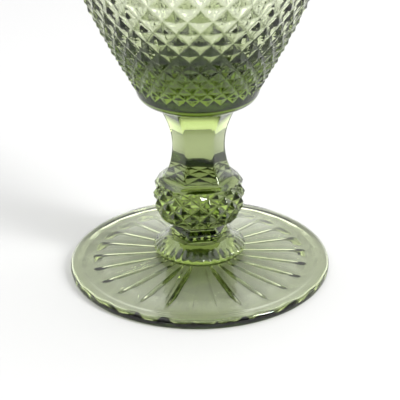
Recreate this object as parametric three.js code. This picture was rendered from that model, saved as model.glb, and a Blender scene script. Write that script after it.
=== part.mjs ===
// A pressed-glass wine goblet with a diamond-point bowl, a hexagonal stem, a diamond-point knop,
// a hexagonal collar, a ribbed disc and a fluted foot.
// Millimetres, +Z up. The origin is the centre of the foot, on the surface that the goblet stands on.
// Angles round the axis start at -Y and turn towards +X.

import * as THREE from "three";

// ---- driving dimensions -------------------------------------------------------------------------

const footRadius = 40;
const mouthRadius = 42;
const height = 160;

// Heights of the flat planes where one piece is fused to the next.
const footTop = 5.2;
const discTop = 10.6;
const collarTop = 15;
const knopTop = 29.2;
const stemTop = 52.6;

const bowlFloor = 67;
const lipRadius = 1.1;

// The diamond relief: cells round the axis, and each cell's depth from its point to its corners.
const bowlCells = 30;
const bowlRelief = 1.1;
const reliefStart = 58.2;
const reliefEnd = 126;
const diamondTallness = 1.2;
const knopCells = 15;
const knopRelief = 1.1;

const stemTwist = 4.5;
const collarTurn = 6.5;
const discRibs = 36;
const ribDepth = 0.35;
const flutes = 24;
const fluteDepth = 0.5;
const fluteTurn = -5.5;

const glass = { color: 0x7d9a4a, roughness: 0.05, metalness: 0 };

// ---- helpers ------------------------------------------------------------------------------------

const degrees = THREE.MathUtils.degToRad;
const pairs = (list) => list.map(([r, z]) => new THREE.Vector2(r, z));

// Points on a smooth curve through the given [radius, height] pairs.
function smooth(list, count) {
  return new THREE.SplineCurve(pairs(list)).getPoints(count);
}

// Distance from the axis to a hexagon's side, as a share of its corner radius. A side faces angle 0.
function hexagon(angle) {
  const sixth = Math.PI / 3;
  const offSide = ((angle / sixth + 0.5) % 1 + 1) % 1 - 0.5;
  return Math.cos(sixth / 2) / Math.cos(offSide * sixth);
}

// A closed turned body. The profile runs from the axis outwards, up and back to the axis.
// place(vertex) gets { row, column, r, angle, z } and may change r, angle and z.
// pointed(row) says that the quads above that row are split from corner to corner of the diamonds.
function turned(profile, columns, place, pointed) {
  const geometry = new THREE.LatheGeometry(profile, columns);
  const position = geometry.getAttribute("position");
  const rows = profile.length;
  for (let column = 0; column <= columns; column += 1) {
    for (let row = 0; row < rows; row += 1) {
      const angle = ((column % columns) / columns) * 2 * Math.PI;
      const vertex = { row, column, r: profile[row].x, angle, z: profile[row].y };
      if (place) place(vertex);
      const x = vertex.r * Math.sin(vertex.angle);
      const y = -vertex.r * Math.cos(vertex.angle);
      position.setXYZ(column * rows + row, x, y, vertex.z);
    }
  }
  const index = [];
  for (let column = 0; column < columns; column += 1) {
    for (let row = 0; row < rows - 1; row += 1) {
      const a = column * rows + row;
      const b = a + rows;
      const rising = pointed && pointed(row) && isPoint(column, row);
      if (rising) index.push(a, b, a + 1, b + 1, a + 1, b);
      else index.push(a, b, b + 1, a, b + 1, a + 1);
    }
  }
  geometry.setIndex(index);
  geometry.deleteAttribute("normal");
  geometry.deleteAttribute("uv");
  return geometry;
}

// In a relief of diamonds, every second vertex is a point and its neighbours are corners.
function isPoint(column, row) {
  return (column + row) % 2 === 0;
}

function piece(name, geometry) {
  const mesh = new THREE.Mesh(geometry, new THREE.MeshStandardMaterial(glass));
  mesh.name = name;
  return mesh;
}

// ---- foot ---------------------------------------------------------------------------------------

// A plate with a rolled rim. It rests on a flat ring, and its underside is hollowed within the ring
// and pressed with radial flutes.
function foot() {
  const ringInner = 33.2;
  const seat = 12.4;
  const underside = pairs([[0, 2.4], [8, 2.35], [14, 2.1], [21, 1.8], [28.9, 1.5], [ringInner, 0]]);
  const rim = pairs([
    [39.4, 0], [39.8, 0.3], [footRadius, 1], [39.97, 1.7], [39.7, 2.35], [39.05, 2.8], [38.1, 2.95],
    [37.1, 2.85], [36.2, 2.65], [35.3, 2.55], [34.2, 2.62],
  ]);
  const top = pairs([[31, 2.95], [25, 3.7], [19, 4.4], [15, 4.9], [seat, footTop], [0, footTop]]);
  const firstFluted = 2;
  const lastFluted = 4;
  const columnsPerFlute = 3;
  return turned([...underside, ...rim, ...top], flutes * columnsPerFlute, (vertex) => {
    vertex.angle += degrees(fluteTurn);
    const fluted = vertex.row >= firstFluted && vertex.row <= lastFluted;
    if (fluted && vertex.column % columnsPerFlute === 0) vertex.z -= fluteDepth;
  });
}

// ---- disc ---------------------------------------------------------------------------------------

// A thick wafer with a rounded edge and fine radial ribs, between the foot and the collar.
function disc() {
  const body = pairs([
    [0, footTop], [12.2, footTop], [13.4, 5.5], [14.1, 6.3], [14, 7.2], [13.2, 8.3], [11.2, 9.4],
    [9.1, discTop], [0, discTop],
  ]);
  const firstRibbed = 2;
  const lastRibbed = 6;
  return turned(body, discRibs * 2, (vertex) => {
    const ribbed = vertex.row >= firstRibbed && vertex.row <= lastRibbed;
    if (ribbed && vertex.column % 2 === 1) vertex.r -= ribDepth;
  });
}

// ---- collar -------------------------------------------------------------------------------------

// A hexagonal band with upright sides and a sloping upper edge, turned a little against the stem.
function collar() {
  const body = pairs([
    [0, discTop], [8.7, discTop], [8.7, 12.9], [7.4, 13.95], [7.4, collarTop], [0, collarTop],
  ]);
  return turned(body, 6, (vertex) => {
    vertex.angle += Math.PI / 6 + degrees(collarTurn);
  });
}

// ---- knop ---------------------------------------------------------------------------------------

// A round knop covered with pyramids. Its lowest edge is hexagonal, like the collar that carries it.
function knop() {
  const body = pairs([
    [0, collarTop], [7.4, collarTop], [9.6, 16], [12.2, 17.6], [13.5, 20], [13.9, 22.45], [13.95, 24.9],
    [13.5, 27.3], [12.7, 28.6], [12.1, knopTop], [0, knopTop],
  ]);
  const hexagonalRows = [1, 2];
  const firstPointed = 3;
  const lastPointed = 8;
  const relief = (row) => row > firstPointed && row < lastPointed;
  return turned(
    body,
    knopCells * 2,
    (vertex) => {
      if (hexagonalRows.includes(vertex.row)) vertex.r *= hexagon(vertex.angle - degrees(collarTurn));
      if (relief(vertex.row)) vertex.r += isPoint(vertex.column, vertex.row) ? 0.1 : 0.1 - knopRelief;
    },
    (row) => row >= firstPointed && row < lastPointed,
  );
}

// ---- stem ---------------------------------------------------------------------------------------

// A hexagonal shaft, waisted in the middle and flared at both ends, with a slight twist low down.
// Its wide base grows rounder where it meets the knop.
function stem() {
  const waist = 40;
  const side = smooth(
    [
      [12.1, knopTop], [11.3, 29.6], [10.4, 30.35], [9.6, 31.7], [8.9, 33.6], [8.2, 36.6], [7.95, waist],
      [8.3, 43.4], [9.2, 46.6], [10.2, 49], [11.3, 51], [12.4, stemTop],
    ],
    22,
  );
  const columns = 36;
  const body = [new THREE.Vector2(0, knopTop), ...side, new THREE.Vector2(0, stemTop)];
  return turned(body, columns, (vertex) => {
    const hexed = Math.min(1, 0.3 + (vertex.z - knopTop) / 7);
    vertex.r *= 1 + hexed * (hexagon(vertex.angle) - 1);
    const low = Math.max(0, (waist - vertex.z) / (waist - knopTop));
    vertex.angle += degrees(stemTwist) * low;
  });
}

// ---- bowl ---------------------------------------------------------------------------------------

// The bowl's outer curve from the start of the diamonds to the lip.
const outerCurve = new THREE.SplineCurve(
  pairs([
    [18.3, reliefStart], [20.9, 62.6], [24.8, 69.7], [29.8, 80], [34, 90], [37.3, 100], [39.8, 110.5],
    [41.5, 121.5], [42.4, 135], [42.5, 148], [mouthRadius, height - lipRadius],
  ]),
);

// Points down the outer curve, each step in proportion to the radius, so all diamonds look alike.
function diamondRows() {
  const samples = outerCurve.getSpacedPoints(2000);
  const rows = [samples[0]];
  let walked = 0;
  for (let i = 1; i < samples.length; i += 1) {
    const last = rows[rows.length - 1];
    walked += samples[i].distanceTo(samples[i - 1]);
    const step = (diamondTallness * Math.PI * last.x) / bowlCells;
    if (last.y + step > reliefEnd) break;
    if (walked >= step) {
      rows.push(samples[i]);
      walked = 0;
    }
  }
  return rows;
}

// The outer curve's plain stretch above the diamonds.
function plainZone(from) {
  const above = outerCurve.getSpacedPoints(40).filter((point) => point.y > from + 4);
  return above.filter((point, i) => i % 4 === above.length % 4 || i === above.length - 1);
}

// A deep cup. Diamonds cover it from just above its smooth round base to the plain zone at the lip.
function bowl() {
  const base = pairs([[0, stemTop], [12.4, stemTop], [14.8, 53.8], [16.7, 55], [17.7, 56.3], [18.15, 57.5]]);
  const diamonds = diamondRows();
  const plain = plainZone(diamonds[diamonds.length - 1].y);
  const lip = pairs([[mouthRadius - lipRadius, height], [mouthRadius - 2 * lipRadius, height - lipRadius]]);
  const inside = smooth(
    [
      [39.7, 148], [39.4, 134], [38, 118], [35, 103], [30.6, 89], [26, 79.5], [21.2, 73.2], [15.4, 69.3],
      [8.5, 67.4], [0, bowlFloor],
    ],
    15,
  );
  const first = base.length;
  const last = first + diamonds.length - 1;
  return turned(
    [...base, ...diamonds, ...plain, ...lip, ...inside],
    bowlCells * 2,
    (vertex) => {
      const inRelief = vertex.row > first && vertex.row < last;
      const low = !isPoint(vertex.column, vertex.row);
      if (inRelief && low) vertex.r -= bowlRelief * Math.min(1, vertex.r / 24);
    },
    (row) => row >= first && row < last,
  );
}

const goblet = new THREE.Group();
goblet.add(piece("foot", foot()));
goblet.add(piece("disc", disc()));
goblet.add(piece("collar", collar()));
goblet.add(piece("knop", knop()));
goblet.add(piece("stem", stem()));
goblet.add(piece("bowl", bowl()));

export default goblet;
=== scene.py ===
"""A pressed green wine glass: one seamless skin of clear glass over the six fused pieces of the frame."""

import math

import bpy
import numpy as np
from mathutils import Matrix, Vector


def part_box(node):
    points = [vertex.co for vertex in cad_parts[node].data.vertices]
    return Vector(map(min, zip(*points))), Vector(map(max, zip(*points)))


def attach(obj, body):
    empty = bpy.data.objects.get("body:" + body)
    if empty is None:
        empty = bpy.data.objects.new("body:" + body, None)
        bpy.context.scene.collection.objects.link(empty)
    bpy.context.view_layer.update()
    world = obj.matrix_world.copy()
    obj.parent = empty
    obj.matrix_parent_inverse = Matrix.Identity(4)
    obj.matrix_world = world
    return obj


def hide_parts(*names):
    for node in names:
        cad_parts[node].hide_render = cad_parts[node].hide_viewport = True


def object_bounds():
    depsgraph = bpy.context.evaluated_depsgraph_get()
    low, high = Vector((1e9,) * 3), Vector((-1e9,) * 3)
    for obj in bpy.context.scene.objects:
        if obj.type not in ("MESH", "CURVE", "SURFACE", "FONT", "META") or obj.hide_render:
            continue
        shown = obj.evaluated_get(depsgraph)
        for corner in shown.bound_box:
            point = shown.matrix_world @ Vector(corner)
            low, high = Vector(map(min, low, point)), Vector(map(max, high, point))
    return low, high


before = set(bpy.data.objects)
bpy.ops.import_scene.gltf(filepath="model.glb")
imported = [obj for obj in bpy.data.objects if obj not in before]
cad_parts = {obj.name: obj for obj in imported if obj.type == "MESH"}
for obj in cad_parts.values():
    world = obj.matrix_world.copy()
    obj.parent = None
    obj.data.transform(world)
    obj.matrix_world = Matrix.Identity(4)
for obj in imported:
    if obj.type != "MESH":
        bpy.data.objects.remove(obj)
cad_low, cad_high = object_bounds()

MM = 0.001
TURN = 2 * math.pi

# ---- sizes from the frame, in millimetres --------------------------------------------------------


def node_top(node):
    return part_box(node)[1].z / MM


def node_radius(node):
    low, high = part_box(node)
    return (high.x - low.x) / 2 / MM


FOOT_RADIUS = node_radius("foot")
FOOT_TOP = node_top("foot")
DISC_TOP = node_top("disc")
DISC_RADIUS = node_radius("disc")
COLLAR_TOP = node_top("collar")
KNOP_TOP = node_top("knop")
STEM_TOP = node_top("stem")
HEIGHT = node_top("bowl")

# ---- the relief, as pressed ----------------------------------------------------------------------

BOWL_CELLS = 30
BOWL_RELIEF = 1.1
KNOP_CELLS = 15
KNOP_RELIEF = 1.15
RELIEF_START = 58.2
RELIEF_END = 126
DIAMOND_TALLNESS = 1.2
STEM_TWIST = math.radians(4.5)
COLLAR_TURN = math.radians(6.5)
DISC_RIBS = 36
RIB_DEPTH = 0.35
FLUTES = 24
FLUTE_TURN = math.radians(-5.5)
FLUTE_SHIFT = math.radians(-3.2)
FLUTE_RIDGE = 1.1
FLUTE_END = 28.0
FLUTE_END_ARC = 1.7

# ---- sizes inside the frame's boxes, in millimetres ----------------------------------------------

HOLLOW_HEIGHT = 2.4
RING_INNER_RADIUS = 33.2
KNOP_RELIEF_LOW = 17.6
KNOP_RELIEF_HIGH = 28.5
WAIST = 40
MOUTH_RADIUS = 42
LIP_RADIUS = 1.1
BOWL_FLOOR = 67


# ---- mesh helpers --------------------------------------------------------------------------------


def curve(points, step=0.5):
    """Points on a smooth curve through the given [radius, height] pairs, about step apart."""
    p = np.array(points, float)
    ends = np.vstack([2 * p[0] - p[1], p, 2 * p[-1] - p[-2]])
    out = []
    for i in range(len(p) - 1):
        a, b, c, d = ends[i : i + 4]
        steps = max(1, round(np.linalg.norm(c - b) / step))
        for t in np.arange(steps) / steps:
            square = (2 * a - 5 * b + 4 * c - d) * t**2
            cube = (3 * (b - c) + d - a) * t**3
            out.append(0.5 * (2 * b + (c - a) * t + square + cube))
    out.append(p[-1])
    return np.array(out)


def angles(count):
    """Directions round the axis, from -Y towards +X."""
    return np.arange(count) / count * TURN


def ring(radius, height, around):
    around = np.asarray(around)
    radius = np.broadcast_to(radius, around.shape)
    height = np.broadcast_to(height, around.shape)
    return np.stack([radius * np.sin(around), -radius * np.cos(around), height], 1)


def hexagon(around):
    """Distance from the axis to a hexagon's side, as a share of its corner radius. A side faces angle 0."""
    sixth = TURN / 6
    off_side = (around / sixth + 0.5) % 1 - 0.5
    return math.cos(sixth / 2) / np.cos(off_side * sixth)


def soft_hexagon(around, softness):
    """The hexagon with its corners rounded off, by averaging it over a few degrees."""
    spread = np.radians(np.linspace(-softness, softness, 9))
    return np.mean([hexagon(around + s) for s in spread], axis=0)


class Skin:
    """A closed surface made of rings, from its lowest point on the axis to its last point on the axis."""

    def __init__(self, first_point):
        self.points = [np.array([first_point], float)]
        self.count = 1
        self.faces = []
        self.last = [0]

    def add(self, points, split=None):
        """Joins the next ring to the last one. split says, per quad, which way it is cut in two."""
        new = list(range(self.count, self.count + len(points)))
        self.points.append(np.asarray(points, float))
        self.count += len(points)
        if split is not None:
            self._cut_quads(self.last, new, split)
        elif len(new) == len(self.last):
            self._quads(self.last, new)
        else:
            self._zip(self.last, new)
        self.last = new

    def _quads(self, a, b):
        n = len(a)
        for i in range(n):
            j = (i + 1) % n
            self.faces.append((a[i], a[j], b[j], b[i]))

    def _cut_quads(self, a, b, split):
        n = len(a)
        for i in range(n):
            j = (i + 1) % n
            if split[i]:
                self.faces += [(a[i], a[j], b[i]), (a[j], b[j], b[i])]
            else:
                self.faces += [(a[i], a[j], b[j]), (a[i], b[j], b[i])]

    def _zip(self, a, b):
        """Triangles between rings of different counts. Either ring may be one point."""
        n, m = len(a), len(b)
        i = j = 0
        while i < n * (n > 1) or j < m * (m > 1):
            if j == m or m == 1 or (n > 1 and i < n and (i + 1) / n <= (j + 1) / m):
                self.faces.append((a[i % n], a[(i + 1) % n], b[j % m]))
                i += 1
            else:
                self.faces.append((a[i % n], b[(j + 1) % m], b[j % m]))
                j += 1

    def mesh(self, name):
        data = bpy.data.meshes.new(name)
        data.from_pydata((np.vstack(self.points) * MM).tolist(), [], self.faces)
        data.validate()
        data.update()
        return data


def relief(skin, rows, cells, depth, steps):
    """Rhombic pyramids in staggered rows. rows are the [radius, height] pairs of the lattice.

    Every second lattice point is a pyramid's point and its neighbours are corners, which lie deeper by
    depth(row). Each side of a pyramid is flat, and the mesh is finest along its edges, which smooth
    shading then rounds a little.
    """
    columns = 2 * cells
    crowding = 0.6
    lattice = []
    for k, (radius, height) in enumerate(rows):
        low = (np.arange(columns) + k) % 2 == 1
        lattice.append(ring(radius - depth(k) * low, height, angles(columns)))
    even = np.arange(steps + 1) / steps
    t = even - crowding * np.sin(even * TURN) / TURN
    for k in range(len(rows) - 1):
        for s in t if k == 0 else t[1:]:
            points, split = [], []
            for c in range(columns):
                p00, p10 = lattice[k][c], lattice[k][(c + 1) % columns]
                p01, p11 = lattice[k + 1][c], lattice[k + 1][(c + 1) % columns]
                falling = (c + k) % 2 == 0
                for u in t[:-1]:
                    points.append(facet_point(p00, p10, p01, p11, u, s, falling))
                    split.append(falling)
            skin.add(points, split if (k, s) != (0, 0) else None)


def facet_point(p00, p10, p01, p11, u, s, falling):
    if falling and u + s <= 1:
        return (1 - u - s) * p00 + u * p10 + s * p01
    if falling:
        return (u + s - 1) * p11 + (1 - s) * p10 + (1 - u) * p01
    if u >= s:
        return (1 - u) * p00 + (u - s) * p10 + s * p11
    return (1 - s) * p00 + (s - u) * p01 + u * p11


# ---- the six pieces as one skin ------------------------------------------------------------------


def foot_underside(skin):
    """A hollow with radial flutes, whose round ends cut into a sloping edge, inside the flat resting ring.

    The ridges between the flutes sit a little unevenly on the right and are worn nearly flat in front.
    The mesh is finest along the ridges.
    """
    per_flute = 20
    crowding = 0.75
    worn_share = 0.92
    worn_angle = 0.24
    even = angles(FLUTES * per_flute)
    pitch = TURN / FLUTES
    around = even - crowding * np.sin(even / pitch % 1 * TURN) / TURN * pitch
    across = 2 * (around / pitch % 1) - 1
    direction = around + FLUTE_TURN
    direction = direction + FLUTE_SHIFT * np.clip(4 * np.sin(direction), 0, 1)
    from_front = np.arcsin(np.sin(direction / 2)) * 2
    ridge = FLUTE_RIDGE * (1 - worn_share * np.exp(-((from_front / worn_angle) ** 4)))
    end = FLUTE_END + FLUTE_END_ARC * np.sqrt(1 - across**2)
    off_ridge = (1 - np.abs(across)) * pitch / 2
    ridge_half_width = 1.15
    hollow = curve([[0.6, HOLLOW_HEIGHT], [8, 2.35], [14, 2.1], [21, 1.8], [FLUTE_END, 1.5]], 1.4)
    for radius, height in hollow:
        share = radius / FLUTE_END
        radii = radius + (end - FLUTE_END) * max(0, (share - 0.7) / 0.3) ** 2
        fade = np.clip((radius - 8) / 4, 0, 1)
        shape = np.exp(-((off_ridge * radii / ridge_half_width) ** 2))
        skin.add(ring(radii, height - ridge * fade * shape, direction))
    edge_height = hollow[-1][1] - ridge * shape
    for t in (0.25, 0.5, 0.75, 1):
        skin.add(ring(end + (RING_INNER_RADIUS - end) * t, edge_height * (1 - t), direction))


def foot_outside(skin):
    """The resting ring, the rolled rim and the gently rising top."""
    around = angles(240)
    r = FOOT_RADIUS
    rim = curve(
        [[r - 0.6, 0], [r - 0.2, 0.3], [r, 1.0], [r - 0.03, 1.7], [r - 0.3, 2.35], [r - 0.95, 2.8],
         [r - 1.9, 2.95], [r - 2.9, 2.85], [r - 3.8, 2.65], [r - 4.7, 2.55], [r - 5.8, 2.62]],
        0.4,
    )
    top = curve([[r - 5.8, 2.62], [31, 2.95], [25, 3.7], [19, 4.4], [15, 4.9], [12.6, FOOT_TOP]], 1.2)[1:]
    for radius, height in np.vstack([rim, top]):
        skin.add(ring(radius, height, around))


def disc_side(skin):
    """A rounded edge, undercut where it meets the foot, with ribs that fade out towards the collar."""
    around = angles(DISC_RIBS * 10)
    groove = (0.5 - 0.5 * np.cos(around * DISC_RIBS)) ** 2
    r = DISC_RADIUS
    profile = curve(
        [[12.3, FOOT_TOP + 0.05], [13.3, 5.55], [r - 0.1, 6.2], [r, 6.9], [r - 0.35, 7.6], [r - 1.2, 8.3],
         [11.2, 9.4], [9.4, DISC_TOP - 0.05]],
        0.4,
    )
    share = np.linspace(0, 1, len(profile))
    for (radius, height), along in zip(profile, share):
        cut = RIB_DEPTH * min(1, along / 0.1, max(0, 1 - along) ** 2 / 0.4) * groove
        skin.add(ring(radius - cut, height - 0.5 * cut, around))


def collar_side(skin):
    """Six upright sides, a sloping upper edge and a short neck below the knop."""
    around = angles(144)
    shape = soft_hexagon(around, 1.0)
    profile = [[8.55, DISC_TOP], [8.7, 10.75], [8.7, 11.9], [8.7, 12.9], [8.6, 13.1], [7.4, 13.95],
               [7.3, 14.2], [7.4, COLLAR_TOP], [8.2, 15.3]]
    for radius, height in profile:
        skin.add(ring(radius * shape, height, around + COLLAR_TURN))


def knop_side(skin):
    """A hexagonal lower edge, then rows of pyramids, then a smooth shoulder."""
    around = angles(KNOP_CELLS * 2 * 8)
    shape = soft_hexagon(around - COLLAR_TURN, 1.0)
    for radius, height, hexed in [[8.9, 15.6, 1.0], [9.5, 15.95, 1.0], [9.9, 16.2, 1.0], [10.9, 16.8, 0.6]]:
        skin.add(ring(radius * (1 + hexed * (shape - 1)), height, around))
    rows = [[12.1, 17.55], [13.4, 20], [13.9, 22.45], [13.95, 24.9], [13.5, 27.3], [12.7, 28.6]]
    relief(skin, rows, KNOP_CELLS, lambda k: KNOP_RELIEF if 0 < k < len(rows) - 1 else 0, 8)
    skin.add(ring(12.4, 28.95, around))


def stem_side(skin):
    """A waisted hexagon with softened edges, rounder at the knop and slightly twisted below the waist."""
    around = angles(180)
    side = curve(
        [[12.1, KNOP_TOP], [11.3, 29.6], [10.4, 30.35], [9.6, 31.7], [8.9, 33.6], [8.2, 36.6],
         [7.95, WAIST], [8.3, 43.4], [9.2, 46.6], [10.2, 49], [11.3, 51], [12.4, STEM_TOP]],
        0.6,
    )
    shape = soft_hexagon(around, 2.5)
    for radius, height in side:
        low = max(0, (WAIST - height) / (WAIST - KNOP_TOP))
        hexed = min(1, 0.3 + (height - KNOP_TOP) / 7)
        skin.add(ring(radius * (1 + hexed * (shape - 1)), height, around + STEM_TWIST * low))


def outer_curve():
    """The bowl's outer curve from the start of the diamonds to just below the lip."""
    return curve(
        [[18.3, RELIEF_START], [20.9, 62.6], [24.8, 69.7], [29.8, 80], [34, 90], [37.3, 100], [39.8, 110.5],
         [41.5, 121.5], [42.4, 135], [42.5, 148], [MOUTH_RADIUS, HEIGHT - LIP_RADIUS]],
        0.1,
    )


def diamond_rows(samples):
    """Rows up the outer curve, each step in proportion to the radius, so all diamonds look alike."""
    rows, walked = [samples[0]], 0
    for before, point in zip(samples, samples[1:]):
        walked += np.linalg.norm(point - before)
        step = DIAMOND_TALLNESS * math.pi * rows[-1][0] / BOWL_CELLS
        if rows[-1][1] + step > RELIEF_END:
            break
        if walked >= step:
            rows.append(point)
            walked = 0
    return rows


def bowl_outside(skin):
    """A smooth round base, the rows of diamonds, and the plain zone up to the lip."""
    around = angles(BOWL_CELLS * 12)
    for radius, height in curve([[13, 53], [14.8, 53.8], [16.7, 55], [17.7, 56.3], [18.15, 57.6]], 0.5):
        skin.add(ring(radius, height, around))
    samples = outer_curve()
    rows = diamond_rows(samples)
    last = len(rows) - 1

    def depth(k):
        if k in (0, last):
            return 0
        return BOWL_RELIEF * min(1, rows[k][0] / 24)

    relief(skin, rows, BOWL_CELLS, depth, 5)
    plain = [p for p in samples if p[1] > rows[-1][1] + 0.5]
    for radius, height in plain[::30]:
        skin.add(ring(radius, height, around))


def bowl_inside(skin):
    """The rounded lip and the smooth inside, down to the floor."""
    around = angles(240)
    lip_middle = MOUTH_RADIUS - LIP_RADIUS
    for turn in np.radians(np.arange(10, 171, 20)):
        radius = lip_middle + LIP_RADIUS * math.cos(turn)
        height = HEIGHT - LIP_RADIUS + LIP_RADIUS * math.sin(turn)
        skin.add(ring(radius, height, around))
    inside = curve(
        [[39.8, HEIGHT - 1.4], [39.9, 148], [39.6, 134], [38.2, 118], [35.2, 103], [30.8, 89], [26, 79.5],
         [21.2, 73.2], [15.4, 69.3], [8.5, 67.4], [2, 67.05]],
        3.5,
    )
    for radius, height in inside:
        skin.add(ring(radius, height, around))
    skin.add([[0, 0, BOWL_FLOOR]])


def soften(data, low, high):
    """Lets smooth shading run over the edges of the relief between two heights."""
    height = np.empty(len(data.vertices) * 3)
    data.vertices.foreach_get("co", height)
    height = height[2::3] / MM
    ends = np.empty(len(data.edges) * 2, int)
    data.edges.foreach_get("vertices", ends)
    middle = height[ends].reshape(-1, 2).mean(1)
    sharp = np.empty(len(data.edges), bool)
    data.edges.foreach_get("use_edge_sharp", sharp)
    data.edges.foreach_set("use_edge_sharp", sharp & ~((middle > low) & (middle < high)))


def build_glass():
    skin = Skin([0, 0, HOLLOW_HEIGHT + 0.01])
    foot_underside(skin)
    foot_outside(skin)
    disc_side(skin)
    collar_side(skin)
    knop_side(skin)
    stem_side(skin)
    bowl_outside(skin)
    bowl_inside(skin)
    data = skin.mesh("goblet_glass")
    data.shade_smooth()
    data.set_sharp_from_angle(angle=math.radians(30))
    soften(data, KNOP_RELIEF_LOW, KNOP_RELIEF_HIGH)
    soften(data, RELIEF_START + 0.1, RELIEF_END)
    glass = bpy.data.objects.new("goblet_glass", data)
    bpy.context.scene.collection.objects.link(glass)
    return glass


# ---- materials -----------------------------------------------------------------------------------


def node_material(name):
    material = bpy.data.materials.new(name)
    material.use_nodes = True
    nodes = material.node_tree.nodes
    return material, nodes, material.node_tree.links, nodes["Principled BSDF"]


def glass_material():
    """Olive green glass. Its colour comes from depth, and its surface has faint pressing marks."""
    material, nodes, links, shader = node_material("green_glass")
    shader.inputs["Base Color"].default_value = (0.985, 1.0, 0.955, 1)
    shader.inputs["Transmission Weight"].default_value = 1
    shader.inputs["IOR"].default_value = 1.52
    absorption = nodes.new("ShaderNodeVolumeAbsorption")
    absorption.inputs["Color"].default_value = (0.4, 0.5, 0.02, 1)
    absorption.inputs["Density"].default_value = 115
    links.new(absorption.outputs["Volume"], nodes["Material Output"].inputs["Volume"])

    coordinates = nodes.new("ShaderNodeTexCoord")
    haze = nodes.new("ShaderNodeTexNoise")
    haze.inputs["Scale"].default_value = 60
    haze.inputs["Detail"].default_value = 4
    links.new(coordinates.outputs["Object"], haze.inputs["Vector"])
    rough = nodes.new("ShaderNodeMapRange")
    rough.inputs["To Min"].default_value = 0.0
    rough.inputs["To Max"].default_value = 0.05
    links.new(haze.outputs["Fac"], rough.inputs["Value"])
    links.new(rough.outputs["Result"], shader.inputs["Roughness"])

    waves = nodes.new("ShaderNodeTexNoise")
    waves.inputs["Scale"].default_value = 90
    waves.inputs["Detail"].default_value = 2
    links.new(coordinates.outputs["Object"], waves.inputs["Vector"])
    bump = nodes.new("ShaderNodeBump")
    bump.inputs["Strength"].default_value = 0.15
    bump.inputs["Distance"].default_value = 0.0006
    links.new(waves.outputs["Fac"], bump.inputs["Height"])
    links.new(bump.outputs["Normal"], shader.inputs["Normal"])
    return material


def floor_material():
    """A pale table under the goblet and behind it, which grows darker in front of the goblet: painted shade,
    standing in for the studio's light falling off there.
    """
    # Painted shade: the floor's grey is ramped from dark in front of the goblet to pale under and behind it,
    # as if the light fell off towards the front.
    painted_shade_full_to, pale_from = -0.25, -0.08
    dark, pale = 0.12, 0.57
    material, nodes, links, shader = node_material("pale_table_painted_front_shade")
    coordinates = nodes.new("ShaderNodeTexCoord")
    split = nodes.new("ShaderNodeSeparateXYZ")
    links.new(coordinates.outputs["Object"], split.inputs["Vector"])
    tone = nodes.new("ShaderNodeMapRange")
    tone.interpolation_type = "SMOOTHSTEP"
    tone.inputs["From Min"].default_value = painted_shade_full_to
    tone.inputs["From Max"].default_value = pale_from
    tone.inputs["To Min"].default_value = dark
    tone.inputs["To Max"].default_value = pale
    links.new(split.outputs["Y"], tone.inputs["Value"])
    links.new(tone.outputs["Result"], shader.inputs["Base Color"])
    shader.inputs["Roughness"].default_value = 0.9
    shader.inputs["Specular IOR Level"].default_value = 0.1
    return material


# ---- camera, floor and light ---------------------------------------------------------------------


def make_camera():
    """The camera looks down on the foot from the front, a little to the left of the stem's front side."""
    side_step = math.radians(-1.5)
    distance = 7.56 * FOOT_RADIUS * MM
    height = 4.116 * FOOT_RADIUS * MM
    pitch, roll, yaw = math.radians(25.35), math.radians(-0.6), math.radians(0.05)
    forward = Vector((math.sin(yaw) * math.cos(pitch), math.cos(yaw) * math.cos(pitch), -math.sin(pitch)))
    right = forward.cross(Vector((0, 0, 1))).normalized()
    up = right.cross(forward)
    right, up = (
        math.cos(roll) * right + math.sin(roll) * up,
        -math.sin(roll) * right + math.cos(roll) * up,
    )
    placed = Matrix.Translation((0, -distance, height)) @ Matrix((right, up, -forward)).transposed().to_4x4()
    camera = bpy.data.objects.new("camera", bpy.data.cameras.new("camera"))
    camera.matrix_world = Matrix.Rotation(side_step, 4, "Z") @ placed
    camera.data.lens = 99
    camera.data.sensor_width = 36
    camera.data.clip_start = 0.01
    camera.data.clip_end = 20
    bpy.context.scene.collection.objects.link(camera)
    bpy.context.scene.camera = camera


def make_floor():
    size = 3.0
    gap = 0.00005
    data = bpy.data.meshes.new("floor")
    corners = [(-size, -size, 0), (size, -size, 0), (size, size, 0), (-size, size, 0)]
    data.from_pydata(corners, [], [(0, 1, 2, 3)])
    floor = bpy.data.objects.new("floor", data)
    floor.location.z = cad_low.z - gap
    floor.data.materials.append(floor_material())
    bpy.context.scene.collection.objects.link(floor)


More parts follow.
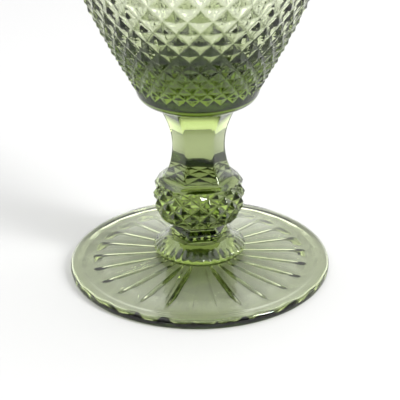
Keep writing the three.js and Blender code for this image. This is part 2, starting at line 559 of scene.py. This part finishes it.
def area_light(name, place, target, size, power):
    lamp = bpy.data.lights.new(name, "AREA")
    lamp.shape = "RECTANGLE"
    lamp.size, lamp.size_y = size
    lamp.energy = power
    light = bpy.data.objects.new(name, lamp)
    light.location = place
    light.rotation_mode = "QUATERNION"
    light.rotation_quaternion = (Vector(target) - Vector(place)).to_track_quat("-Z", "Y")
    bpy.context.scene.collection.objects.link(light)


def make_world():
    """A studio that is bright low down behind the object and overhead, and dark in front of it."""
    world = bpy.data.worlds.new("studio")
    bpy.context.scene.world = world
    world.use_nodes = True
    nodes, links = world.node_tree.nodes, world.node_tree.links
    coordinates = nodes.new("ShaderNodeTexCoord")
    split = nodes.new("ShaderNodeSeparateXYZ")
    links.new(coordinates.outputs["Generated"], split.inputs["Vector"])

    def by_height(tones):
        """A ramp of greys. Each pair is the sine of a height above the horizon and the grey there."""
        ramp = nodes.new("ShaderNodeValToRGB")
        stops = ramp.color_ramp.elements
        while len(stops) < len(tones):
            stops.new(0.5)
        for stop, (sine, tone) in zip(stops, tones):
            stop.position = sine
            stop.color = (tone, tone, tone, 1)
        links.new(split.outputs["Z"], ramp.inputs["Fac"])
        return ramp.outputs["Color"]

    behind = by_height([(0, 0.85), (0.05, 0.95), (0.18, 0.95), (0.36, 0.38), (0.6, 0.45), (0.75, 1)])
    in_front = by_height([(0, 0.03), (0.3, 0.04), (0.65, 0.3), (0.9, 0.6)])
    blend = 0.25
    side = nodes.new("ShaderNodeMapRange")
    side.interpolation_type = "SMOOTHSTEP"
    side.inputs["From Min"].default_value = -blend
    side.inputs["From Max"].default_value = blend
    links.new(split.outputs["Y"], side.inputs["Value"])
    mix = nodes.new("ShaderNodeMix")
    mix.data_type = "RGBA"
    links.new(side.outputs["Result"], mix.inputs["Factor"])
    links.new(in_front, mix.inputs["A"])
    links.new(behind, mix.inputs["B"])
    links.new(mix.outputs["Result"], nodes["Background"].inputs["Color"])
    nodes["Background"].inputs["Strength"].default_value = 2.5


bpy.context.scene.view_settings.view_transform = "Standard"
make_camera()
make_floor()
make_world()
area_light("tall_light", place=(0.66, -0.42, 0.5), target=(0, 0, 0.04), size=(0.16, 0.5), power=9)

goblet = build_glass()
goblet.data.materials.append(glass_material())
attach(goblet, "root")
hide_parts("foot", "disc", "collar", "knop", "stem", "bowl")
